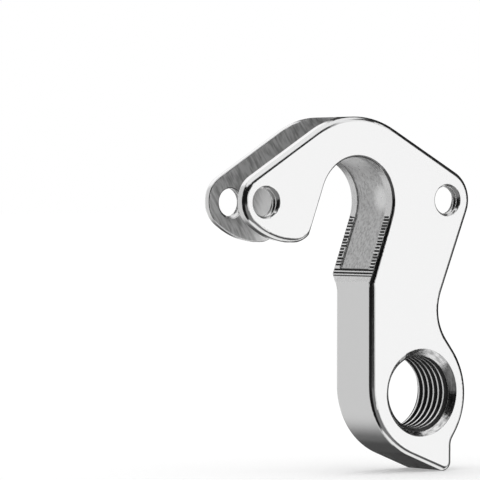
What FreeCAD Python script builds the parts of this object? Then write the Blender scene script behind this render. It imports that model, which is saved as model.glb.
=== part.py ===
import FreeCAD, Part
import math
import os
from FreeCAD import Vector

# Bicycle derailleur hanger: one aluminium forging, machined where it meets the frame, axle and derailleur.
# Millimetres. X runs to the rear of the bicycle, Y outboard through the thickness and Z up.
# The origin is the axle centre, midway between the two frame bolts, on the flush inboard face.

# Thickness: the frame's tongue sits between an inboard and an outboard plate
INBOARD_PLATE = 1.55
TONGUE_GAP = 6.0
OUTBOARD_PLATE = 1.4
HEAD_THICKNESS = INBOARD_PLATE + TONGUE_GAP + OUTBOARD_PLATE
STEP_DEPTH = 1.15
LEG_THICKNESS = HEAD_THICKNESS - STEP_DEPTH

# Step from the thick head to the thinner leg, on the outboard face only
STEP_TOP = 8.8
STEP_ANGLE = 30.0
STEP_CREST_RADIUS = 2.9
STEP_ROOT_RADIUS = 2.0

# Frame bolt holes through both plates, M4 x 0.7, drilled for the tap
BOLT_SPACING = 27.7
BOLT_RADIUS = 1.7
BOLT_CHAMFER = 0.3

# Axle slot, with room for a 10 mm axle, which leans forward on its way down; a tumbled bevel at both faces
AXLE_RADIUS = 5.45
SLOT_LEAN = 20.8
SLOT_CHAMFER = 0.25
FORGED_STOCK = 0.45

# Frame tongue slots: a web is left round the axle slot, the ends near the crown are cutter round
WEB_THICKNESS = 2.35
FRONT_SLOT_END = 3.6
REAR_SLOT_END = 5.2
REAR_POCKET_DEPTH = 4.0
REAR_POCKET_CORNER = 1.5

# Derailleur bolt hole, M10 x 1, drilled for the tap
DERAILLEUR_X = 9.65
DERAILLEUR_Z = -23.9
DERAILLEUR_RADIUS = 4.5
DERAILLEUR_CHAMFER = 0.95

# Arched head and its two ends, as distances from the bolt centres
CROWN_RADIUS = 12.0
FRONT_FLANK_ANGLE = 31.0
FRONT_FLANK_EDGE = 3.5
FRONT_END_EDGE = 3.19
FRONT_END_RADIUS = 3.42
EAR_SLOPE = 35.6
EAR_SLOPE_EDGE = 3.3
EAR_DEPTH = 4.95
EAR_BELLY_RADIUS = 10.3
MOUTH_RADIUS = 3.3
REAR_FLANK_ANGLE = 29.35
REAR_FLANK_EDGE = 3.84
REAR_SIDE_LEAN = 22.4
REAR_SIDE_EDGE = 3.67
REAR_END_RADIUS = 3.95

# Waist, boss, tip and leg; the boss and the leg are placed from the derailleur bolt centre
WAIST_RADIUS = 6.0
BOSS_RADIUS = 8.95
BOSS_OFFSET_X = -1.91
BOSS_OFFSET_Z = -0.21
SHOULDER_LEAN = 36.6
HEEL_LEAN = 33.5
NOTCH_RADIUS = 1.6
TIP_BEARING = 45.7
TIP_STANDOUT = 0.65
TIP_LEAN = -1.0
TIP_RADIUS = 1.15
FOOT_EDGE = 7.92
FOOT_SLOPE = 22.2
FOOT_RADIUS = 9.4
LEG_EDGE = 7.78
LEG_LEAN = 0.6

FORGED_EDGE_RADIUS = 0.7

# Long enough for a cut to run right out of the part
REACH = 2 * BOLT_SPACING


def point(x, z, y=0.0):
    return Vector(x, y, z)


def line(x, z, angle):
    """Line through a point, its direction turned by an angle in degrees from +X towards +Z."""
    return (x, z, math.cos(math.radians(angle)), math.sin(math.radians(angle)))


def line_beside(x, z, distance, angle):
    """Line that passes a point at a distance, on the left of its own direction."""
    a = math.radians(angle)
    return line(x - distance * math.sin(a), z + distance * math.cos(a), angle)


def meet(first, second):
    x1, z1, u1, w1 = first
    x2, z2, u2, w2 = second
    along = ((x2 - x1) * w2 - (z2 - z1) * u2) / (u1 * w2 - w1 * u2)
    return (x1 + along * u1, z1 + along * w1)


def fit_radii(corners):
    """The corners with each radius limited so that a fiftieth of every wall stays straight."""
    most = 1 - 1 / 50
    places = [point(x, z) for x, z, radius in corners]
    count = len(corners)
    halves = []
    for i, here in enumerate(places):
        before = places[i - 1] - here
        after = places[(i + 1) % count] - here
        halves.append(before.getAngle(after) / 2)
    tangents = [radius / math.tan(half) for (x, z, radius), half in zip(corners, halves)]
    shares = [1.0] * count
    for i, here in enumerate(places):
        room = most * (here - places[i - 1]).Length / (tangents[i] + tangents[i - 1])
        shares[i] = min(shares[i], room)
        shares[i - 1] = min(shares[i - 1], room)
    return [(x, z, radius * share) for (x, z, radius), share in zip(corners, shares)]


def rounded_wire(corners):
    """Closed wire in the XZ plane through (x, z, radius) corners, each rounded by its tangent arc."""
    corners = fit_radii(corners)
    starts, mids, ends = [], [], []
    for i, (x, z, radius) in enumerate(corners):
        here = point(x, z)
        before = (point(*corners[i - 1][:2]) - here).normalize()
        after = (point(*corners[(i + 1) % len(corners)][:2]) - here).normalize()
        half = before.getAngle(after) / 2
        tangent = radius / math.tan(half)
        bisector = (before + after).normalize()
        starts.append(here + before * tangent)
        ends.append(here + after * tangent)
        mids.append(here + bisector * (radius / math.sin(half) - radius))
    edges = []
    for i, (start, mid, end) in enumerate(zip(starts, mids, ends)):
        edges.append(Part.LineSegment(ends[i - 1], start).toShape())
        edges.append(Part.Arc(start, mid, end).toShape())
    return Part.Wire(edges)


def blank_outline():
    """Outline of the forging, round the head, down the rear edge, and back up the leg."""
    bolt = BOLT_SPACING / 2
    crown_front = line_beside(-bolt, 0, FRONT_FLANK_EDGE, FRONT_FLANK_ANGLE)
    crown_rear = line_beside(bolt, 0, REAR_FLANK_EDGE, -REAR_FLANK_ANGLE)
    rear_side = line_beside(bolt, 0, REAR_SIDE_EDGE, -90 - REAR_SIDE_LEAN)
    boss_x = DERAILLEUR_X + BOSS_OFFSET_X
    boss_z = DERAILLEUR_Z + BOSS_OFFSET_Z
    shoulder = line_beside(boss_x, boss_z, BOSS_RADIUS, -90 + SHOULDER_LEAN)
    heel = line_beside(boss_x, boss_z, BOSS_RADIUS, -90 - HEEL_LEAN)
    bearing = math.radians(TIP_BEARING)
    tip_x = boss_x + (BOSS_RADIUS + TIP_STANDOUT) * math.cos(bearing)
    tip_z = boss_z - (BOSS_RADIUS + TIP_STANDOUT) * math.sin(bearing)
    tip_side = line(tip_x, tip_z, -90 + TIP_LEAN)
    foot = line_beside(DERAILLEUR_X, DERAILLEUR_Z, FOOT_EDGE, 180 - FOOT_SLOPE)
    leg = line_beside(DERAILLEUR_X, DERAILLEUR_Z, LEG_EDGE, 90 - LEG_LEAN)
    forged_radius = AXLE_RADIUS - FORGED_STOCK
    opening_rear = line_beside(0, 0, -forged_radius, 90 - SLOT_LEAN)
    opening_top = line(0, 0, 180)
    opening_front = line_beside(0, 0, -forged_radius, -90 - SLOT_LEAN)
    ear_bottom = line(0, -EAR_DEPTH, 180)
    ear_slope = line_beside(-bolt, 0, EAR_SLOPE_EDGE, 180 - EAR_SLOPE)
    front_end = line(-bolt - FRONT_END_EDGE, 0, 90)
    sides = [
        (crown_front, crown_rear, CROWN_RADIUS),
        (crown_rear, rear_side, REAR_END_RADIUS),
        (rear_side, shoulder, WAIST_RADIUS),
        (shoulder, heel, BOSS_RADIUS),
        (heel, tip_side, NOTCH_RADIUS),
        (tip_side, foot, TIP_RADIUS),
        (foot, leg, FOOT_RADIUS),
        (leg, opening_rear, NOTCH_RADIUS),
        (opening_rear, opening_top, NOTCH_RADIUS),
        (opening_top, opening_front, NOTCH_RADIUS),
        (opening_front, ear_bottom, MOUTH_RADIUS),
        (ear_bottom, ear_slope, EAR_BELLY_RADIUS),
        (ear_slope, front_end, FRONT_END_RADIUS),
        (front_end, crown_front, FRONT_END_RADIUS),
    ]
    return [(*meet(first, second), radius) for first, second, radius in sides]


def prism(wire, start, end):
    wire.translate(Vector(0, start, 0))
    return Part.Face(wire).extrude(Vector(0, end - start, 0))


def step_cutter():
    """Everything outboard of the ramp and of the leg's outboard face."""
    tangent = math.radians(STEP_ANGLE)
    root = STEP_TOP + STEP_DEPTH / math.tan(tangent)
    crest_run = STEP_CREST_RADIUS * math.tan(tangent / 2)
    root_run = STEP_ROOT_RADIUS * math.tan(tangent / 2)
    high, low = HEAD_THICKNESS, LEG_THICKNESS

    def along_ramp(distance):
        return (high - distance * math.sin(tangent), -STEP_TOP - distance * math.cos(tangent))

    def side(y, z):
        return Vector(-REACH, y, z)

    ramp_length = STEP_DEPTH / math.sin(tangent)
    crest_sag = STEP_CREST_RADIUS * (1 - math.cos(tangent / 2))
    root_sag = STEP_ROOT_RADIUS * (1 - math.cos(tangent / 2))
    crest_start = side(high, -STEP_TOP + crest_run)
    crest_end = side(*along_ramp(crest_run))
    root_start = side(*along_ramp(ramp_length - root_run))
    root_end = side(low, -root - root_run)
    lean = Vector(0, math.cos(tangent / 2), -math.sin(tangent / 2))
    crest_mid = (crest_start + crest_end) * 0.5 + lean * crest_sag
    root_mid = (root_start + root_end) * 0.5 - lean * root_sag
    edges = [
        Part.Arc(crest_start, crest_mid, crest_end).toShape(),
        Part.LineSegment(crest_end, root_start).toShape(),
        Part.Arc(root_start, root_mid, root_end).toShape(),
    ]
    corners = [root_end, side(low, -2 * REACH), side(high + REACH, -2 * REACH)]
    corners += [side(high + REACH, -STEP_TOP + crest_run), crest_start]
    edges += [Part.LineSegment(a, b).toShape() for a, b in zip(corners, corners[1:])]
    return Part.Face(Part.Wire(edges)).extrude(Vector(2 * REACH, 0, 0))


def is_side_face(face):
    u0, u1, v0, v1 = face.ParameterRange
    normal = face.normalAt((u0 + u1) / 2, (v0 + v1) / 2)
    return abs(normal.y) < 1e-6


def rim_edges(solid):
    """Edges where the forging's side wall meets its inboard or outboard face."""
    rims = []
    for edge in solid.Edges:
        faces = solid.ancestorsOfType(edge, Part.Face)
        if len({is_side_face(face) for face in faces}) == 2:
            rims.append(edge)
    return rims


def forging():
    blank = prism(rounded_wire(blank_outline()), 0, HEAD_THICKNESS)
    blank = blank.cut(step_cutter())
    return blank.makeFillet(FORGED_EDGE_RADIUS, rim_edges(blank))


def slot_wire(radius, y):
    """Arch about the axle with two straight walls that lean forward on their way down."""
    lean = math.radians(SLOT_LEAN)
    across = Vector(math.cos(lean), 0, -math.sin(lean))
    down = Vector(-math.sin(lean), 0, -math.cos(lean))
    centre = Vector(0, y, 0)
    rear = centre + across * radius
    front = centre - across * radius
    top = centre - down * radius
    rear_foot = rear + down * REACH
    front_foot = front + down * REACH
    return Part.Wire([
        Part.Arc(front, top, rear).toShape(),
        Part.LineSegment(rear, rear_foot).toShape(),
        Part.LineSegment(rear_foot, front_foot).toShape(),
        Part.LineSegment(front_foot, front).toShape(),
    ])


def slot_prism(radius, start, end):
    return Part.Face(slot_wire(radius, start)).extrude(Vector(0, end - start, 0))


def slot_chamfer(face_y, inward):
    """Bevel of the axle slot at one face; inward is +1 or -1 along Y."""
    wide = slot_wire(AXLE_RADIUS + 2 * SLOT_CHAMFER, face_y - inward * SLOT_CHAMFER)
    narrow = slot_wire(AXLE_RADIUS, face_y + inward * SLOT_CHAMFER)
    return Part.makeLoft([wide, narrow], True, True)


def cylinder(radius, x, z, start, end):
    return Part.makeCylinder(radius, end - start, Vector(x, start, z), Vector(0, 1, 0))


def countersink(radius, chamfer, x, z, face_y, inward):
    """45 degree cone that opens a hole of the given radius at one face."""
    outer = Vector(x, face_y - inward * chamfer, z)
    return Part.makeCone(radius + 2 * chamfer, radius, 2 * chamfer, outer, Vector(0, inward, 0))


def tongue_block(near, far, bottom):
    """Cutter sweep from its round end near the crown out past one end of the head."""
    width = TONGUE_GAP / 2
    middle = INBOARD_PLATE + width
    low, high = sorted((near, far))
    box = Part.makeBox(high - low, TONGUE_GAP, REACH - bottom, Vector(low, INBOARD_PLATE, bottom))
    end = Part.makeCylinder(width, REACH - bottom, Vector(near, middle, bottom), Vector(0, 0, 1))
    return box.fuse(end).removeSplitter()


def tongue_cutters():
    web = cylinder(AXLE_RADIUS + WEB_THICKNESS, 0, 0, -REACH, REACH)
    front = tongue_block(-FRONT_SLOT_END, -REACH, -REACH).cut(web)
    rear = tongue_block(REAR_SLOT_END, REACH, -REAR_POCKET_DEPTH).cut(web)
    return [largest(front), round_pocket_corner(largest(rear))]


def largest(shape):
    return max(shape.Solids, key=lambda solid: solid.Volume)


def round_pocket_corner(cutter):
    """Round the inner bottom corner of the rear pocket, where the cutter turned."""
    corner = []
    for edge in cutter.Edges:
        a, b = edge.Vertexes[0].Point, edge.Vertexes[-1].Point
        runs_through = abs(a.x - b.x) < 1e-6 and abs(a.z - b.z) < 1e-6
        at_bottom = abs(a.z + REAR_POCKET_DEPTH) < 1e-6 and a.x < REACH / 2
        if runs_through and at_bottom:
            corner.append(edge)
    return cutter.makeFillet(REAR_POCKET_CORNER, corner)


def tapped_hole(radius, chamfer, x, z, face_y):
    """Drilled hole from the inboard face to the face at face_y, countersunk at both."""
    bore = cylinder(radius, x, z, -1, face_y + 1)
    return bore.fuse([countersink(radius, chamfer, x, z, 0, 1),
                      countersink(radius, chamfer, x, z, face_y, -1)])


def hanger():
    body = forging()
    cuts = [slot_prism(AXLE_RADIUS, -1, HEAD_THICKNESS + 1)]
    cuts += [slot_chamfer(0, 1), slot_chamfer(HEAD_THICKNESS, -1)]
    cuts += tongue_cutters()
    for x in (-BOLT_SPACING / 2, BOLT_SPACING / 2):
        cuts.append(tapped_hole(BOLT_RADIUS, BOLT_CHAMFER, x, 0, HEAD_THICKNESS))
    cuts.append(tapped_hole(DERAILLEUR_RADIUS, DERAILLEUR_CHAMFER, DERAILLEUR_X, DERAILLEUR_Z, LEG_THICKNESS))
    for cut in cuts:
        body = body.cut(cut)
    return body.removeSplitter().Solids[0]


def main():
    os.makedirs("parts", exist_ok=True)
    part = hanger()
    part.exportStep("parts/hanger.step")
    box = part.BoundBox
    print("hanger valid", part.isValid(), "volume", round(part.Volume, 1))
    print("box", round(box.XMin, 2), round(box.YMin, 2), round(box.ZMin, 2),
          round(box.XMax, 2), round(box.YMax, 2), round(box.ZMax, 2))


main()
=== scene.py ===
import math
import random

import bmesh
import bpy
from mathutils import Euler, Matrix, Vector


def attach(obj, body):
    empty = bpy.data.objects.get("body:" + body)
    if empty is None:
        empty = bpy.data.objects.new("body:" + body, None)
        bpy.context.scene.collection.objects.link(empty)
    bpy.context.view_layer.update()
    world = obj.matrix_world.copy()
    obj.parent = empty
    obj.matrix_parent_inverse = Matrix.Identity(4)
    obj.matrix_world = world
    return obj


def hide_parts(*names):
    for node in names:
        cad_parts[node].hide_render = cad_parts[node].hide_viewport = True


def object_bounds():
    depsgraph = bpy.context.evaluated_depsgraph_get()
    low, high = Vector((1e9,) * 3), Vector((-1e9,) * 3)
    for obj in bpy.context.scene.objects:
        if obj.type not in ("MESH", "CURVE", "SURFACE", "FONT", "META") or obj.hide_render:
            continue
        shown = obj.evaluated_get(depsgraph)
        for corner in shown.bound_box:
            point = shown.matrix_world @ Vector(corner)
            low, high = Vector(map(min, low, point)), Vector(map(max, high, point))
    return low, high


# Looks of a bicycle derailleur hanger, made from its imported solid.
# Blender works in metres, with X to the rear, Y outboard and Z up. Unless something else is said,
# the sizes below are in millimetres and the angles in degrees.

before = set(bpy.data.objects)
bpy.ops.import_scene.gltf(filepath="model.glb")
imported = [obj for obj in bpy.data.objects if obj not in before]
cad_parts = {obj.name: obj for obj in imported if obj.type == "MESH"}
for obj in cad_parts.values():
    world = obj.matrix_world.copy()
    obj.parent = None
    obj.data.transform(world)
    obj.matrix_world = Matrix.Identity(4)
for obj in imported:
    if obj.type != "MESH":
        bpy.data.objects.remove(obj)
cad_low, cad_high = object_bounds()

MM = 0.001

# Camera: where it stands round the axle centre, and the pixel where the axle centre lands
IMAGE_SIZE = 480
CAMERA_AZIMUTH = -36.623
CAMERA_ELEVATION = 0.375
CAMERA_ROLL = 0.419
CAMERA_DISTANCE = 482.255
CAMERA_FOCAL_PIXELS = 3923.6
AXLE_PIXEL = (358.257, 201.222)
SENSOR_WIDTH = 36.0

# The solid's own sizes
THICKNESS = 8.95
LEG_THICKNESS = 7.8
INBOARD_PLATE = 1.55
OUTBOARD_PLATE = 1.4
PLATE_FACES = (INBOARD_PLATE, THICKNESS - OUTBOARD_PLATE)
AXLE_RADIUS = 5.45
SLOT_LEAN = 20.8
WEB_RADIUS = 7.8
CROWN_RADIUS = 12.0
CROWN_TOP = 10.415
POCKET_FLOOR = -4.0
BOLT_X = 27.7 / 2
BOLT_RADIUS = 1.7
BOLT_CHAMFER = 0.3
DERAILLEUR_X = 9.65
DERAILLEUR_Z = -23.9
DERAILLEUR_RADIUS = 4.5
DERAILLEUR_CHAMFER = 0.95

# Threaded holes: x, z, radius of the drilled wall, pitch, chamfer, height of the outboard face
HOLES = {
    "derailleur": (DERAILLEUR_X, DERAILLEUR_Z, DERAILLEUR_RADIUS, 1.0, DERAILLEUR_CHAMFER,
                   LEG_THICKNESS),
    "front_bolt": (-BOLT_X, 0, BOLT_RADIUS, 0.7, BOLT_CHAMFER, THICKNESS),
    "rear_bolt": (BOLT_X, 0, BOLT_RADIUS, 0.7, BOLT_CHAMFER, THICKNESS),
}

# Thread groove: half the angle between its sides, and in pitches its depth, half its width at the
# drilled wall and how far inside the wall its cutter starts. The fine bore is wider than the
# drilled wall by the clearance, and its cutter stands out of both faces.
THREAD_HALF_ANGLE = 30
THREAD_DEPTH = 0.54
THREAD_HALF_WIDTH = 0.375
THREAD_OVERLAP = 0.15
THREAD_CLEARANCE = 0.012
CIRCLE_STEPS = 96
BORE_OUT = 0.5

# Machined middle of the axle slot's wall, between the two plates' edges: how deep, how far down the
# rear wall it runs before it ramps out, and the ends of its cutter
RELIEF = 0.14
RELIEF_RUN = 6.85
RELIEF_RAMP = 0.55
RELIEF_OUT = 0.4
RELIEF_BOTTOM = 9.0

# Chatter along the plates' edges on the slot's straight rear wall. Each tooth differs: the spreads
# are shares of the pitch, depth and half pitch, and the last is how far it stops short in mm.
TEETH_START = 0.1
TEETH_STOP = 0.1
TEETH_PITCH = 0.42
TEETH_DEPTH = 0.2
PITCH_SPREAD = (0.85, 1.15)
DEPTH_SPREAD = (0.7, 1.1)
WIDTH_SPREAD = (0.6, 0.8)
SHORT_SPREAD = (0, 0.25)
NEAR_TEETH = (0.32, INBOARD_PLATE)
FAR_TEETH = (PLATE_FACES[1], THICKNESS + 0.2)
NOTCH_OUT = 0.06

# Groove beside the outboard plate's edge
UNDERCUT_DEPTH = 0.3
UNDERCUT_WIDTH = 0.3
UNDERCUT_OUT = 0.1
UNDERCUT_RISE = 0.6
UNDERCUT_OVERLAP = 0.05

# Marks where the cutter ran out: how far down, width and depth of each, and their ends across
RUN_OUT_MARKS = ((7.08, 0.26, 0.2), (7.5, 0.24, 0.16), (7.85, 0.16, 0.07))
RUN_OUT_ENDS = (0.45, THICKNESS - 0.35)

# Rounded lip that the forging leaves beside the slot's rear wall: its radius over the arch, at the
# wall's top and at the run-out, and the places where its cutter changes
LIP_ARCH = 0.28
LIP_START = 0.42
LIP_END = 0.7
LIP_BELOW_TRIM = (0.02, 0.1)
LIP_GROWTH = 0.8
LIP_ARCH_ANGLE = 70
LIP_ARCH_STEPS = 15
LIP_WALL_START = 0.4
LIP_WALL_STEPS = 16
LIP_WALL_TRIM = 0.7
LIP_ROUND_STEPS = 6
LIP_OUT = 0.3
WALL_END = 8.66
LEG_BELOW = (5.85, 9.76)

# Tumbled edges of the two plates' inner faces, outside the slot
PLATE_EDGE = 0.13
PLATE_EDGE_ANGLE = 60
PLATE_EDGE_CLEAR = 0.5

# Clean-up of the mesh (the weld in metres, before it is scaled) and its shading. The last three are
# cosines of the angle from a corner's direction to its face's, a flat's and the crown's.
WELD = 1e-6
FLAT_ANGLE = 0.2
SLIVER = 0.006
SHARP_ANGLE = 26
NORMAL_WEIGHT = 90
STRAY_NORMAL = 0.65
NEAR_FLAT = 0.85
NEAR_CROWN = 0.95

# How near to a surface its faces lie, by surface
ON_EDGE = 0.01
ON_FLAT = 0.004
ON_CROWN = 0.012
ON_WEB = 0.03
ON_FLOOR = 0.02
ON_COUNTERSINK = 0.04
ON_THREAD = 0.02
ON_HOLE = 0.03
ONE_HEIGHT = 0.001

# Where the slot's wall, its grooves, its rounded edges and the pockets' milled ends are: distances
# from the slot's wall, down it or from the web, and heights
LIP_BAND = 0.3
LIP_BOTTOM = 9
WALL_DEPTHS = (-0.1, 0.4)
WALL_LOWEST = -10
GROOVE_DEPTH = 0.02
ROUND_DEPTH = 0.35
POCKET_END = 4
WEB_MARGIN = 0.2

# How a face is turned, by the share of its direction that lies along one axis
NEARLY_NONE = 0.1
LITTLE = 0.15
PART = 0.3
MOST = 0.9
NEARLY_ALL = 0.99

# Finishes: colour, roughness, metallic, grain's wavelengths along X, Y and Z, its turn about Y,
# its depth, and how far it darkens the colour
FINISHES = {
    "forged": (0.92, 0.15, 1.0, (0.7, 0.7, 0.7), 0, 0.003, 0.015),
    # Painted shade: a darker colour than the forged face's, a painted dark reflection on slanting
    # faces
    "painted_shade_rim": (0.8, 0.15, 1.0, (0.7, 0.7, 0.7), 0, 0.003, 0.015),
    # Painted shade: a very dark colour, a painted dark reflection along the rounded lip by the
    # slot's wall
    "lip": (0.3, 0.2, 1.0, (0.7, 0.7, 0.7), 0, 0.003, 0.1),
    "edge": (0.86, 0.28, 0.9, (1.5, 0.3, 1.5), 0, 0.006, 0.1),
    "slot": (0.62, 0.32, 0.75, (0.42, 0.3, 0.42), 0, 0.016, 0.35),
    "milled": (0.58, 0.4, 0.6, (0.3, 1.6, 1.6), -31, 0.02, 0.45),
    "crest": (0.92, 0.25, 0.6, (0.5, 0.5, 0.5), 0, 0.004, 0.05),
    # Painted shade: a near-black colour in the thread and groove valleys
    "painted_shade_valley": (0.07, 0.4, 0.7, (0.4, 0.4, 0.4), 0, 0.01, 0.3),
    "countersink": (0.8, 0.2, 1.0, (1.0, 0.2, 1.0), 0, 0.02, 0.5),
}
GRAIN_DETAIL = 3.0
GRAIN_RANGE = (0.3, 0.7)
ROUGHNESS_SPREAD = (0.8, 1.2)
TINT_RANGE = (0.35, 0.6)
EDGE_TUMBLE = 0.1
EDGE_SAMPLES = 4

# Painted light: lighter patches painted on a finish, which stand in for highlights and reflected
# light:
# the point each spreads from, the distances where it starts and stops fading, and its colour. They
# are lighter by a share, and a finish's first is also less metallic.
PAINTED_LIGHT_PATCHES = (
    # Painted light round the top of the slot's arch
    ("slot", (0.0, 4.5, 5.6), 2.5, 6.0, 0.95),
    # Painted highlight on the slot's rear wall at the axle's height
    ("slot", (5.5, 2.6, 0.3), 0.6, 2.3, 1.0),
    # Painted reflected light on the outboard plate's inner face, ahead of and below the axle
    ("milled", (-3.0, 7.55, -2.0), 5.8, 8.5, 1.0),
)
PAINTED_LIGHT_SHARE = 0.85
PAINTED_LIGHT_METALLIC = 0.1

# Dome round the object: white, with dark and grey cards on it, and its segments round and up.
# Each card is azimuths, elevations, brightness and the width of its soft edge.
DOME_RADIUS = 400.0
DOME_SEGMENTS = (240, 120)
CARDS = (
    ((200, 234), (-70, 50), 0.62, 5),
    ((150, 205), (-70, -26), 0.62, 5),
    ((150, 191), (-60, -26), 0.13, 30),
    ((140, 170), (-60, -22), 0.07, 8),
    ((-58, 10), (-62, -6), 0.22, 5),
    ((10, 62), (-58, -26), 0.08, 4),
    ((52, 84), (-26, -4), 0.25, 4),
    ((-128, -9), (-7, 45), 0.01, 4),
    ((-128, -56), (-60, -5), 0.01, 5),
    ((-60, 30), (12, 48), 0.01, 4),
    ((50, 84), (-8, 50), 0.02, 4),
    ((80, 150), (-7, 50), 0.02, 4),
    ((80, 127), (-36, -5), 0.02, 4),
    ((124, 150), (-36, -22), 0.02, 4),
    ((90, 146), (-56, -32), 0.05, 5),
)

# Floor, and the light that it adds for the camera alone, which brings it up to white
FLOOR_SIZE = 6000.0
FLOOR_GREY = 0.9
FLOOR_LIFT = 0.14
WHITE = (1, 1, 1, 1)

random.seed(7)


def mesh_object(name, bm):
    mesh = bpy.data.meshes.new(name)
    bm.to_mesh(mesh)
    bm.free()
    made = bpy.data.objects.new(name, mesh)
    bpy.context.scene.collection.objects.link(made)
    return made


def welded_copy(node):
    """The solid's mesh in millimetres, its split vertices joined, its flat faces whole and its
    plates' inner edges tumbled."""
    bm = bmesh.new()
    bm.from_mesh(node.data)
    bmesh.ops.remove_doubles(bm, verts=bm.verts, dist=WELD)
    bmesh.ops.scale(bm, vec=Vector((1, 1, 1)) / MM, verts=bm.verts)
    flat = math.radians(FLAT_ANGLE)
    bmesh.ops.dissolve_limit(bm, angle_limit=flat, verts=bm.verts, edges=bm.edges)
    tumble_plates(bm)
    bmesh.ops.triangulate(bm, faces=bm.faces)
    return mesh_object("hanger_metal", bm)


def tumble_plates(bm):
    """Small bevel along the outer edges of the plates' inner faces."""
    chosen = []
    for edge in bm.edges:
        if len(edge.link_faces) != 2 or not edge.is_convex:
            continue
        if edge.calc_face_angle(0) < math.radians(PLATE_EDGE_ANGLE):
            continue
        for plane in PLATE_FACES:
            if all(abs(v.co.y - plane) < ON_EDGE for v in edge.verts):
                if math.hypot(*(edge.verts[0].co.xz)) > AXLE_RADIUS + PLATE_EDGE_CLEAR:
                    chosen.append(edge)
    bmesh.ops.bevel(bm, geom=chosen, offset=PLATE_EDGE, segments=2, profile=0.5, affect="EDGES")


def close_tube(bm, rings):
    """Quads between each ring of vertices and the next, and a face on each end."""
    for first, second in zip(rings, rings[1:]):
        count = len(first)
        for i in range(count):
            j = (i + 1) % count
            bm.faces.new((first[i], first[j], second[j], second[i]))
    bm.faces.new(rings[0])
    bm.faces.new(list(reversed(rings[-1])))


def tool(name, bm):
    """Finished cutter, its faces turned outward."""
    bmesh.ops.recalc_face_normals(bm, faces=bm.faces)
    return mesh_object(name, bm)


def revolved(name, x, z, profile):
    """Cutter of (radius, y) profile points turned about an axis along Y."""
    bm = bmesh.new()
    rings = []
    for radius, y in profile:
        ring = []
        for i in range(CIRCLE_STEPS):
            a = 2 * math.pi * i / CIRCLE_STEPS
            ring.append(bm.verts.new((x + radius * math.cos(a), y, z + radius * math.sin(a))))
        rings.append(ring)
    close_tube(bm, rings)
    return tool(name, bm)


def thread_groove(name, x, z, radius, pitch, start, end):
    """Cutter for a helical groove outward from the drilled wall, of four-sided section."""
    slope = math.tan(math.radians(THREAD_HALF_ANGLE))
    depth = THREAD_DEPTH * pitch
    overlap = THREAD_OVERLAP * pitch
    half_width = THREAD_HALF_WIDTH * pitch
    inner_half = half_width + overlap * slope
    outer_half = half_width - depth * slope
    section = [(radius - overlap, -inner_half), (radius + depth, -outer_half),
               (radius + depth, outer_half), (radius - overlap, inner_half)]
    bm = bmesh.new()
    rings = []
    steps = int((end - start) / pitch * CIRCLE_STEPS)
    for i in range(steps + 1):
        a = 2 * math.pi * i / CIRCLE_STEPS
        y = start + pitch * i / CIRCLE_STEPS
        ring = []
        for r, dy in section:
            ring.append(bm.verts.new((x + r * math.cos(a), y + dy, z + r * math.sin(a))))
        rings.append(ring)
    close_tube(bm, rings)
    return tool(name, bm)


def threaded_hole(name, x, z, radius, pitch, chamfer, far_face):
    """Cutters for one threaded hole: its fine bore with both countersinks, and its groove."""
    fine = THREAD_CLEARANCE
    bore = revolved(name + "_bore", x, z, [
        (radius + fine + chamfer + BORE_OUT, -BORE_OUT),
        (radius + fine, chamfer),
        (radius + fine, far_face - chamfer),
        (radius + fine + chamfer + BORE_OUT, far_face + BORE_OUT),
    ])
    groove = thread_groove(name + "_groove", x, z, radius, pitch, -pitch, far_face + pitch)
    return [bore, groove]


def slot_point(across, down, y):
    """Point given in the slot's own frame: across to the rear and down the walls from the axle."""
    lean = math.radians(SLOT_LEAN)
    return Vector((
        across * math.cos(lean) - down * math.sin(lean),
        y,
        -across * math.sin(lean) - down * math.cos(lean),
    ))


def slot_place(point):
    """Distance of a point from the slot's middle line, and how far down the walls it lies."""
    lean = math.radians(SLOT_LEAN)
    across = point.x * math.cos(lean) - point.z * math.sin(lean)
    down = -point.x * math.sin(lean) - point.z * math.cos(lean)
    if down < 0:
        return math.hypot(point.x, point.z), down
    return abs(across), down


def slot_prism(bm, outline, start, end):
    """Closed prism along Y on (across, down) points of the slot's frame."""
    rings = []
    for y in (start, end):
        rings.append([bm.verts.new(slot_point(across, down, y)) for across, down in outline])
    close_tube(bm, rings)


def slot_relief():
    """Cutter for the middle of the slot's wall."""
    radius = AXLE_RADIUS + RELIEF
    outline = []
    for i in range(CIRCLE_STEPS + 1):
        a = math.pi * i / CIRCLE_STEPS
        outline.append((radius * math.cos(a), -radius * math.sin(a)))
    outline += [(-radius, RELIEF_BOTTOM), (0.0, RELIEF_BOTTOM),
                (AXLE_RADIUS - RELIEF_OUT, RELIEF_RUN + RELIEF_RAMP), (radius, RELIEF_RUN)]
    bm = bmesh.new()
    slot_prism(bm, outline, *PLATE_FACES)
    return tool("slot_relief", bm)


def notch(down, half_width, depth):
    """Outline of one V groove in the rear wall."""
    reach = half_width * (1 + NOTCH_OUT / depth)
    return [(AXLE_RADIUS + depth, down),
            (AXLE_RADIUS - NOTCH_OUT, down + reach),
            (AXLE_RADIUS - NOTCH_OUT, down - reach)]


def chatter(name, start, end):
    """Cutter for a row of V grooves across one plate's edge, each a little different."""
    bm = bmesh.new()
    down = TEETH_START
    while down < RELIEF_RUN - TEETH_STOP:
        depth = TEETH_DEPTH * random.uniform(*DEPTH_SPREAD)
        half = 0.5 * TEETH_PITCH * random.uniform(*WIDTH_SPREAD)
        slot_prism(bm, notch(down, half, depth), start + random.uniform(*SHORT_SPREAD), end)
        down += TEETH_PITCH * random.uniform(*PITCH_SPREAD)
    return tool(name, bm)


def run_out():
    """Cutter for the marks across the whole wall where the machining ends."""
    bm = bmesh.new()
    for down, width, depth in RUN_OUT_MARKS:
        slot_prism(bm, notch(down, width / 2, depth), *RUN_OUT_ENDS)
    return tool("run_out", bm)


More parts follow.
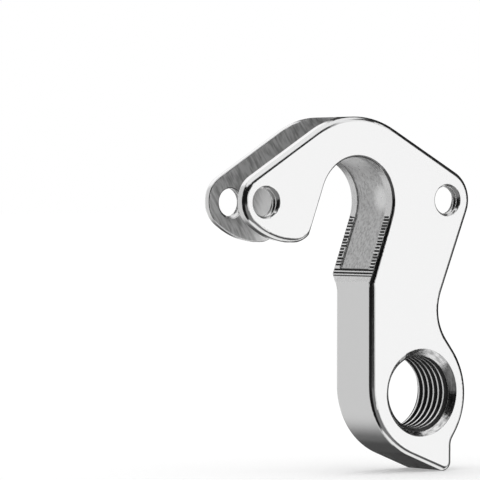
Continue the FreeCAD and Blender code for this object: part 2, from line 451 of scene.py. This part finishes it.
def undercut():
    """Cutter for the groove between the outboard plate's edge and the machined middle."""
    deep = AXLE_RADIUS + UNDERCUT_DEPTH
    out = AXLE_RADIUS - UNDERCUT_OUT
    outline = [(deep, 0.0), (out, -UNDERCUT_RISE), (out, RELIEF_RUN),
               (deep, RELIEF_RUN - UNDERCUT_DEPTH)]
    bm = bmesh.new()
    end = PLATE_FACES[1]
    slot_prism(bm, outline, end - UNDERCUT_WIDTH, end + UNDERCUT_OVERLAP)
    return tool("undercut", bm)


def lip_stations():
    """Places down the arch, the slot's rear wall and the leg, each with the way into the metal
    and the lip's radius there."""
    lean = math.radians(SLOT_LEAN)
    into_leg = Vector((math.cos(lean), -math.sin(lean)))
    into_wall = Vector((1.0, 0.0))
    stations = []
    for i in range(LIP_ARCH_STEPS):
        share = i / LIP_ARCH_STEPS
        a = math.radians(LIP_ARCH_ANGLE * (1 - share))
        outward = Vector((math.cos(a), -math.sin(a)))
        radius = LIP_ARCH + (LIP_START - LIP_ARCH) * share
        stations.append((outward * AXLE_RADIUS, outward, radius))
    for i in range(LIP_WALL_STEPS + 1):
        down = LIP_WALL_START + (WALL_END - LIP_WALL_TRIM) * i / LIP_WALL_STEPS
        share = down / WALL_END
        radius = LIP_START + (LIP_END - LIP_START) * share ** LIP_GROWTH
        stations.append((Vector((AXLE_RADIUS, down)), into_wall, radius))
    corner = Vector((AXLE_RADIUS, WALL_END))
    stations.append((corner, (into_wall + into_leg).normalized(), LIP_END))
    below = Vector(LEG_BELOW)
    for place, trim in zip((corner.lerp(below, 0.5), below), LIP_BELOW_TRIM):
        stations.append((place, into_leg, LIP_END - trim))
    return stations


def lip():
    """Cutter with a hollow round side, which follows the inboard edge of the slot's rear wall."""
    bm = bmesh.new()
    rings = []
    for base, outward, radius in lip_stations():
        section = [(-LIP_OUT, -LIP_OUT), (radius, -LIP_OUT)]
        for i in range(LIP_ROUND_STEPS + 1):
            a = math.pi / 2 * i / LIP_ROUND_STEPS
            section.append((radius - radius * math.sin(a), radius - radius * math.cos(a)))
        section.append((-LIP_OUT, radius))
        ring = []
        for out, y in section:
            across, down = base + outward * out
            ring.append(bm.verts.new(slot_point(across, down, y)))
        rings.append(ring)
    close_tube(bm, rings)
    return tool("lip", bm)


def apply_modifier(body, modifier):
    with bpy.context.temp_override(object=body, active_object=body, selected_objects=[body]):
        bpy.ops.object.modifier_apply(modifier=modifier.name)


def cut(body, cutters):
    """Takes each cutter out of the body and deletes the cutters."""
    for cutter in cutters:
        modifier = body.modifiers.new(cutter.name, "BOOLEAN")
        modifier.operation = "DIFFERENCE"
        modifier.solver = "MANIFOLD"
        modifier.object = cutter
        apply_modifier(body, modifier)
        bpy.data.objects.remove(cutter)


def is_slot_lip(a, b):
    """True for the two edges of the tumbled bevel between the slot's wall and a face."""
    for end in (a, b):
        distance, down = slot_place(end)
        near_face = end.y < LIP_BAND or end.y > THICKNESS - LIP_BAND
        if not near_face or abs(distance - AXLE_RADIUS) > LIP_BAND or down > LIP_BOTTOM:
            return False
    return True


def smooth(body):
    """Smooth shading, broken at real edges, with the large faces keeping their own direction."""
    mesh = body.data
    bm = bmesh.new()
    bm.from_mesh(mesh)
    bmesh.ops.dissolve_degenerate(bm, dist=SLIVER, edges=bm.edges)
    bmesh.ops.triangulate(bm, faces=bm.faces)
    bm.to_mesh(mesh)
    bm.free()
    mesh.shade_smooth()
    mesh.set_sharp_from_angle(angle=math.radians(SHARP_ANGLE))
    sharp = mesh.attributes["sharp_edge"].data
    for edge in mesh.edges:
        a, b = (mesh.vertices[i].co for i in edge.vertices)
        if sharp[edge.index].value and is_slot_lip(a, b):
            sharp[edge.index].value = False
    modifier = body.modifiers.new("normals", "WEIGHTED_NORMAL")
    modifier.keep_sharp = True
    modifier.weight = NORMAL_WEIGHT
    apply_modifier(body, modifier)
    set_directions(mesh)


def flat_directions(mesh):
    """Direction of each vertex that belongs to a face in one of the large flats."""
    flats = ((0, -1), (PLATE_FACES[0], 1), (PLATE_FACES[1], -1), (LEG_THICKNESS, 1), (THICKNESS, 1))
    directions = {}
    for face in mesh.polygons:
        heights = [mesh.vertices[i].co.y for i in face.vertices]
        for plane, sign in flats:
            if all(abs(height - plane) < ON_FLAT for height in heights):
                for i in face.vertices:
                    directions[i] = Vector((0, sign, 0))
    return directions


def crown_directions(mesh):
    """The round crown's own direction at each of its vertices, which its facets only come near."""
    centre = Vector((0, 0, CROWN_TOP - CROWN_RADIUS))
    directions = {}
    for face in mesh.polygons:
        if abs(face.normal.y) > NEARLY_NONE:
            continue
        away = [(mesh.vertices[i].co - centre) * Vector((1, 0, 1)) for i in face.vertices]
        if all(abs(point.length - CROWN_RADIUS) < ON_CROWN for point in away):
            for i, point in zip(face.vertices, away):
                directions[i] = point.normalized()
    return directions


def set_directions(mesh):
    """Mends stray corner directions, and gives the flats, the crown and the fillets where they
    meet them exactly the flat's or the crown's direction."""
    flat = flat_directions(mesh)
    crown = crown_directions(mesh)
    normals = [Vector(corner.vector) for corner in mesh.corner_normals]
    for face in mesh.polygons:
        level = all(i in flat for i in face.vertices)
        level = level and len({round(mesh.vertices[i].co.y, 2) for i in face.vertices}) == 1
        for loop in face.loop_indices:
            corner = mesh.loops[loop].vertex_index
            if normals[loop].dot(face.normal) < STRAY_NORMAL:
                normals[loop] = Vector(face.normal)
            direction = flat.get(corner)
            if direction and (level or normals[loop].dot(direction) > NEAR_FLAT):
                normals[loop] = direction
            direction = crown.get(corner)
            if direction and normals[loop].dot(direction) > NEAR_CROWN:
                normals[loop] = direction
    mesh.normals_split_custom_set(normals)


def make_camera():
    data = bpy.data.cameras.new("camera")
    camera = bpy.data.objects.new("camera", data)
    bpy.context.scene.collection.objects.link(camera)
    bpy.context.scene.camera = camera
    data.sensor_width = SENSOR_WIDTH
    data.lens = CAMERA_FOCAL_PIXELS / IMAGE_SIZE * SENSOR_WIDTH
    azimuth = math.radians(CAMERA_AZIMUTH)
    elevation = math.radians(CAMERA_ELEVATION)
    away = Vector((
        math.sin(azimuth) * math.cos(elevation),
        -math.cos(azimuth) * math.cos(elevation),
        math.sin(elevation),
    ))
    camera.location = away * CAMERA_DISTANCE * MM
    facing = (-away).to_track_quat("-Z", "Y")
    right = AXLE_PIXEL[0] - IMAGE_SIZE / 2
    above = IMAGE_SIZE / 2 - AXLE_PIXEL[1]
    yaw = math.atan(right / CAMERA_FOCAL_PIXELS)
    pitch = -math.atan(above / CAMERA_FOCAL_PIXELS)
    turn = Euler((0, 0, -math.radians(CAMERA_ROLL))).to_quaternion()
    turn = turn @ Euler((0, yaw, 0)).to_quaternion() @ Euler((pitch, 0, 0)).to_quaternion()
    camera.rotation_mode = "QUATERNION"
    camera.rotation_quaternion = facing @ turn


def grey(level):
    return (level, level, level, 1)


def aluminium(name, colour, roughness, metallic, grain, turn, depth, uneven):
    """Metal with a fine grain, whose sharp edges catch the light as if slightly tumbled."""
    material = bpy.data.materials.new(name)
    material.use_nodes = True
    tree = material.node_tree
    shader = tree.nodes["Principled BSDF"]
    shader.inputs["Metallic"].default_value = metallic
    place = tree.nodes.new("ShaderNodeTexCoord")
    mapping = tree.nodes.new("ShaderNodeMapping")
    mapping.vector_type = "TEXTURE"
    mapping.inputs["Rotation"].default_value = (0, math.radians(turn), 0)
    mapping.inputs["Scale"].default_value = [size * MM for size in grain]
    noise = tree.nodes.new("ShaderNodeTexNoise")
    noise.inputs["Scale"].default_value = 1.0
    noise.inputs["Detail"].default_value = GRAIN_DETAIL
    rough = tree.nodes.new("ShaderNodeMapRange")
    rough.inputs["From Min"].default_value = GRAIN_RANGE[0]
    rough.inputs["From Max"].default_value = GRAIN_RANGE[1]
    rough.inputs["To Min"].default_value = roughness * ROUGHNESS_SPREAD[0]
    rough.inputs["To Max"].default_value = roughness * ROUGHNESS_SPREAD[1]
    tint = tree.nodes.new("ShaderNodeValToRGB")
    tint.color_ramp.elements[0].position = TINT_RANGE[0]
    tint.color_ramp.elements[0].color = grey(colour * (1 - uneven))
    tint.color_ramp.elements[1].position = TINT_RANGE[1]
    tint.color_ramp.elements[1].color = grey(colour)
    bevel = tree.nodes.new("ShaderNodeBevel")
    bevel.samples = EDGE_SAMPLES
    bevel.inputs["Radius"].default_value = EDGE_TUMBLE * MM
    bump = tree.nodes.new("ShaderNodeBump")
    bump.inputs["Strength"].default_value = 1.0
    bump.inputs["Distance"].default_value = depth * MM
    link = tree.links.new
    link(place.outputs["Object"], mapping.inputs["Vector"])
    link(mapping.outputs["Vector"], noise.inputs["Vector"])
    link(noise.outputs["Fac"], rough.inputs["Value"])
    link(noise.outputs["Fac"], tint.inputs["Fac"])
    link(noise.outputs["Fac"], bump.inputs["Height"])
    link(bevel.outputs["Normal"], bump.inputs["Normal"])
    link(rough.outputs["Result"], shader.inputs["Roughness"])
    link(tint.outputs["Color"], shader.inputs["Base Color"])
    link(bump.outputs["Normal"], shader.inputs["Normal"])
    return material


def paint_light_patch(material, point, near, far, colour):
    """Paints light: fades the metal's colour to a lighter one round a point, where it is also less
    metallic.
    """
    tree = material.node_tree
    shader = tree.nodes["Principled BSDF"]
    tint = shader.inputs["Base Color"].links[0].from_socket
    place = tree.nodes.new("ShaderNodeTexCoord")
    away = tree.nodes.new("ShaderNodeVectorMath")
    away.operation = "DISTANCE"
    away.inputs[1].default_value = [size * MM for size in point]
    fade = tree.nodes.new("ShaderNodeMapRange")
    fade.interpolation_type = "SMOOTHSTEP"
    fade.inputs["From Min"].default_value = near * MM
    fade.inputs["From Max"].default_value = far * MM
    fade.inputs["To Min"].default_value = PAINTED_LIGHT_SHARE
    fade.inputs["To Max"].default_value = 0.0
    mix = tree.nodes.new("ShaderNodeMixRGB")
    mix.inputs["Color2"].default_value = grey(colour)
    link = tree.links.new
    link(place.outputs["Object"], away.inputs[0])
    link(away.outputs["Value"], fade.inputs["Value"])
    link(fade.outputs["Result"], mix.inputs["Fac"])
    link(tint, mix.inputs["Color1"])
    link(mix.outputs["Color"], shader.inputs["Base Color"])
    if shader.inputs["Metallic"].is_linked:
        return
    # Inside the painted light the metal is also less metallic.
    light_patch_metallic = tree.nodes.new("ShaderNodeMapRange")
    light_patch_metallic.inputs["To Min"].default_value = shader.inputs["Metallic"].default_value
    light_patch_metallic.inputs["To Max"].default_value = PAINTED_LIGHT_METALLIC
    link(fade.outputs["Result"], light_patch_metallic.inputs["Value"])
    link(light_patch_metallic.outputs["Result"], shader.inputs["Metallic"])


def box_weight(value, low, high, soft):
    """1 well inside the range, 0 well outside, smooth over the soft width at each end."""
    def step(distance):
        t = min(1.0, max(0.0, 0.5 + distance / soft))
        return t * t * (3 - 2 * t)
    return step(value - low) * step(high - value)


def dome_level(azimuth, elevation):
    level = 1.0
    for azimuths, elevations, brightness, soft in CARDS:
        weight = 0.0
        for turn in (-360, 0, 360):
            weight = max(weight, box_weight(azimuth + turn, *azimuths, soft))
        weight *= box_weight(elevation, *elevations, soft)
        level += (brightness - level) * weight
    return level


def dome():
    """Sphere that only reflections see, to give the metal its dark and grey edges."""
    round_it, up_it = DOME_SEGMENTS
    bm = bmesh.new()
    bmesh.ops.create_uvsphere(bm, u_segments=round_it, v_segments=up_it, radius=DOME_RADIUS * MM)
    made = mesh_object("dome", bm)
    levels = made.data.attributes.new("level", "FLOAT", "POINT")
    for vertex in made.data.vertices:
        x, y, z = vertex.co
        azimuth = math.degrees(math.atan2(x, -y))
        elevation = math.degrees(math.atan2(z, math.hypot(x, y)))
        levels.data[vertex.index].value = dome_level(azimuth, elevation)
    material = bpy.data.materials.new("dome")
    material.use_nodes = True
    tree = material.node_tree
    tree.nodes.clear()
    attribute = tree.nodes.new("ShaderNodeAttribute")
    attribute.attribute_name = "level"
    glow = tree.nodes.new("ShaderNodeEmission")
    glow.inputs["Color"].default_value = WHITE
    output = tree.nodes.new("ShaderNodeOutputMaterial")
    tree.links.new(attribute.outputs["Fac"], glow.inputs["Strength"])
    tree.links.new(glow.outputs["Emission"], output.inputs["Surface"])
    made.data.materials.append(material)
    made.visible_camera = False
    made.visible_diffuse = False
    made.visible_shadow = False
    made.visible_transmission = False


def light_tent():
    """Plain white world, which lights the object evenly."""
    world = bpy.data.worlds.new("tent")
    bpy.context.scene.world = world
    world.use_nodes = True
    background = world.node_tree.nodes["Background"]
    background.inputs["Color"].default_value = WHITE
    background.inputs["Strength"].default_value = 1.0


def floor():
    """Plain pale floor under the object's lowest point, which keeps its shadow."""
    bm = bmesh.new()
    half = FLOOR_SIZE / 2 * MM
    signs = ((-1, -1), (1, -1), (1, 1), (-1, 1))
    bm.faces.new([bm.verts.new((x * half, y * half, cad_low[2])) for x, y in signs])
    made = mesh_object("floor", bm)
    made.visible_glossy = False
    material = bpy.data.materials.new("floor")
    material.use_nodes = True
    tree = material.node_tree
    shader = tree.nodes["Principled BSDF"]
    shader.inputs["Base Color"].default_value = grey(FLOOR_GREY)
    shader.inputs["Roughness"].default_value = 1.0
    shader.inputs["Specular IOR Level"].default_value = 0.0
    shader.inputs["Emission Color"].default_value = WHITE
    path = tree.nodes.new("ShaderNodeLightPath")
    lift = tree.nodes.new("ShaderNodeMath")
    lift.operation = "MULTIPLY"
    lift.inputs[1].default_value = FLOOR_LIFT
    tree.links.new(path.outputs["Is Camera Ray"], lift.inputs[0])
    tree.links.new(lift.outputs["Value"], shader.inputs["Emission Strength"])
    made.data.materials.append(material)


def hole_finish(points, x, z, radius, chamfer, far_face):
    """Finish of a face inside one threaded hole, or None for a face outside it."""
    radii = [math.hypot(p.x - x, p.z - z) - radius - THREAD_CLEARANCE for p in points]
    if max(radii) > chamfer + ON_HOLE:
        return None
    if max(p.y for p in points) - min(p.y for p in points) < ONE_HEIGHT:
        return None
    if max(radii) < ON_THREAD:
        return "crest"
    for mouth in (0, far_face):
        off = [r + abs(p.y - mouth) - chamfer for r, p in zip(radii, points)]
        if all(abs(distance) < ON_COUNTERSINK for distance in off):
            return "countersink"
    # Thread flanks and roots get the near-black colour of painted shade.
    return "painted_shade_valley"


def finish_of(points, normal):
    """Which finish a face gets, from where its corners lie on the solid and which way it faces."""
    for x, z, radius, _, chamfer, far_face in HOLES.values():
        found = hole_finish(points, x, z, radius, chamfer, far_face)
        if found:
            return found
    centre = sum(points, Vector()) / len(points)
    between = PLATE_FACES[0] - ON_EDGE < centre.y < PLATE_FACES[1] + ON_EDGE
    distance, down = slot_place(centre)
    depth = distance - AXLE_RADIUS
    on_wall = down < WALL_END and centre.z > WALL_LOWEST and abs(normal.y) < PART
    if WALL_DEPTHS[0] < depth < WALL_DEPTHS[1] and on_wall:
        if between and down < RELIEF_RUN:
            return "slot"
        # Grooves in the wall get the near-black colour of painted shade.
        if depth > GROOVE_DEPTH and down > 0:
            return "painted_shade_valley"
        return "edge"
    slanting = NEARLY_NONE < abs(normal.y) < NEARLY_ALL
    # The rounded lip beside the slot's wall gets a dark colour, painted shade.
    if abs(depth) < ROUND_DEPTH and down < WALL_END and slanting and not between:
        return "lip"
    if between:
        on_plate = abs(normal.y) > MOST
        on_web = all(abs(math.hypot(p.x, p.z) - WEB_RADIUS) < ON_WEB for p in points)
        on_floor = abs(centre.z - POCKET_FLOOR) < ON_FLOOR and normal.z > MOST
        on_end = centre.z > POCKET_END and distance > WEB_RADIUS - WEB_MARGIN
        if on_plate or on_web or on_floor or (on_end and abs(normal.z) < LITTLE):
            return "milled"
    # Other slanting faces get the darker colour of painted shade.
    return "painted_shade_rim" if slanting else "forged"


def paint(body):
    """Gives each face of the body its finish."""
    body.data.materials.clear()
    for name, values in FINISHES.items():
        material = aluminium(name + "_aluminium", *values)
        # Painted light patches go on the finishes they are listed for.
        for light_patch_finish, *spread in PAINTED_LIGHT_PATCHES:
            if light_patch_finish == name:
                paint_light_patch(material, *spread)
        body.data.materials.append(material)
    names = list(FINISHES)
    vertices = body.data.vertices
    for face in body.data.polygons:
        points = [vertices[i].co for i in face.vertices]
        face.material_index = names.index(finish_of(points, face.normal))


def main():
    make_camera()
    light_tent()
    floor()
    dome()
    body = welded_copy(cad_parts["hanger"])
    cutters = []
    for name, hole in HOLES.items():
        cutters += threaded_hole(name, *hole)
    cutters.append(slot_relief())
    cutters.append(chatter("near_chatter", *NEAR_TEETH))
    cutters.append(chatter("far_chatter", *FAR_TEETH))
    cutters.append(run_out())
    cutters.append(undercut())
    cutters.append(lip())
    cut(body, cutters)
    smooth(body)
    paint(body)
    body.data.transform(Matrix.Scale(MM, 4))
    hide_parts("hanger")
    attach(body, "root")


main()
bpy.context.scene.view_settings.view_transform = "Standard"
